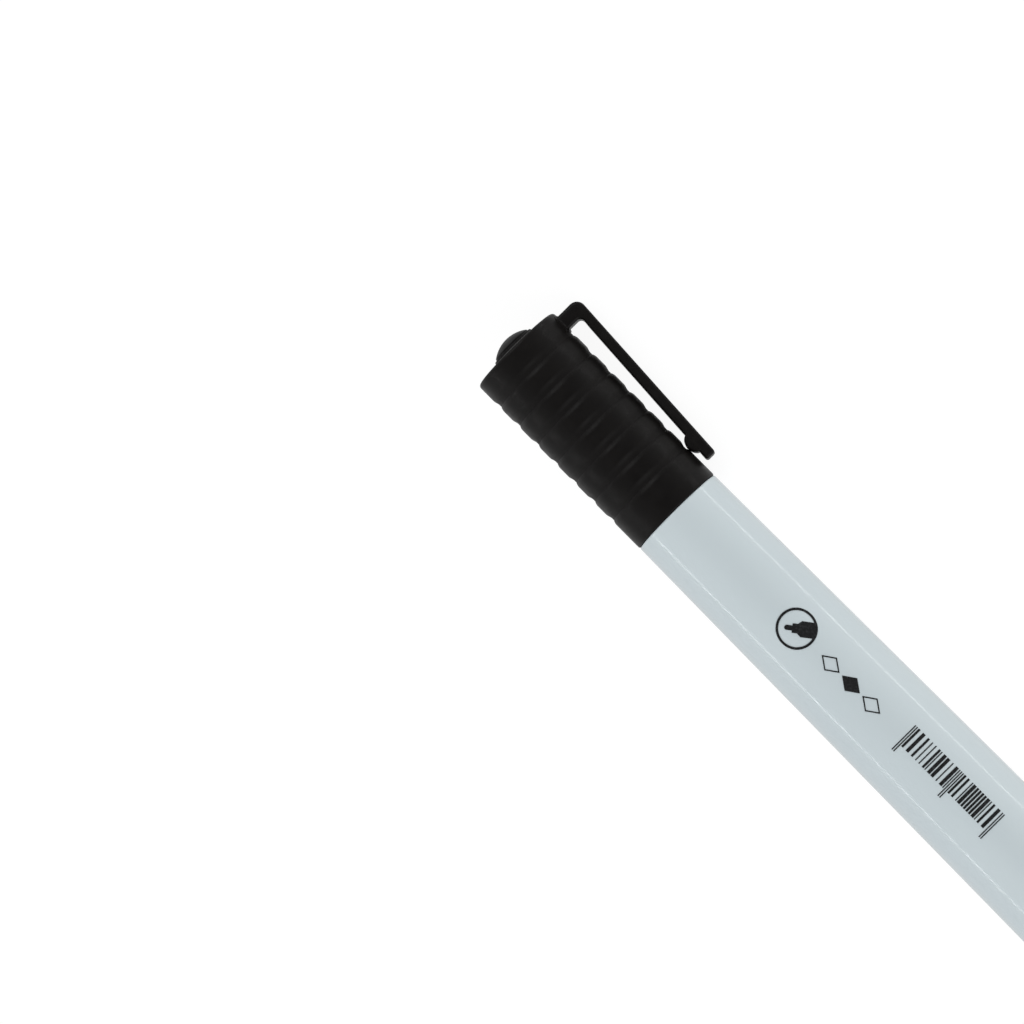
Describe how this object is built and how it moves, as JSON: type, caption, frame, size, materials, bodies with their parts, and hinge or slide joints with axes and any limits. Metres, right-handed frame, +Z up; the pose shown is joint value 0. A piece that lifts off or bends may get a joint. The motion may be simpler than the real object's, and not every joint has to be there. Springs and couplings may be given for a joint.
{
  "type": "felt tip marker",
  "caption": "Bullet-tip felt marker with a pull-off ribbed cap, a flexing pocket clip, a tapered barrel and a fibre ink reservoir inside.",
  "frame": {"origin": "centre of the end plug's flat rear face, on the marker's axis", "axes": "+X along the axis from the rear end to the nib and cap, +Z up, with the marker lying on a table; the clip points towards -Y and about 30 degrees down, so its edge and the cap touch the table"},
  "size_m": [0.1367, 0.0217, 0.0186],
  "materials": {
    "barrel_plastic": "satin",
    "cap_plastic": "satin",
    "seal_plastic": "satin",
    "plug_plastic": "satin",
    "felt": "matte",
    "ink_fibre": "matte",
    "clear_film": "gloss",
    "printing_ink": "matte"
  },
  "bodies": {
    "marker_body": {"barrel": "barrel_plastic", "end_plug": "plug_plastic", "ink_reservoir": "ink_fibre", "reservoir_film": "clear_film", "nib_holder": "barrel_plastic", "nib": "felt"},
    "cap_slider": {"cap_inner_seal": "seal_plastic"},
    "cap": {"cap_shell": "cap_plastic"},
    "clip": {"pocket_clip": "cap_plastic"}
  },
  "joints": [
    {"name": "cap_pull", "type": "slide", "parent": "marker_body", "child": "cap_slider", "axis": [1, 0, 0], "range_m": [0, 0.045]},
    {"name": "cap_turn", "type": "hinge", "parent": "cap_slider", "child": "cap", "pos_m": [0.115, 0, 0], "axis": [1, 0, 0], "continuous": true},
    {"name": "clip_flex", "type": "hinge", "parent": "cap", "child": "clip", "pos_m": [0.13192, -0.00867, -0.00498], "axis": [0, -0.4975, 0.8675], "range_deg": [0, 5], "stiffness_Nm_per_rad": 0.35}
  ]
}
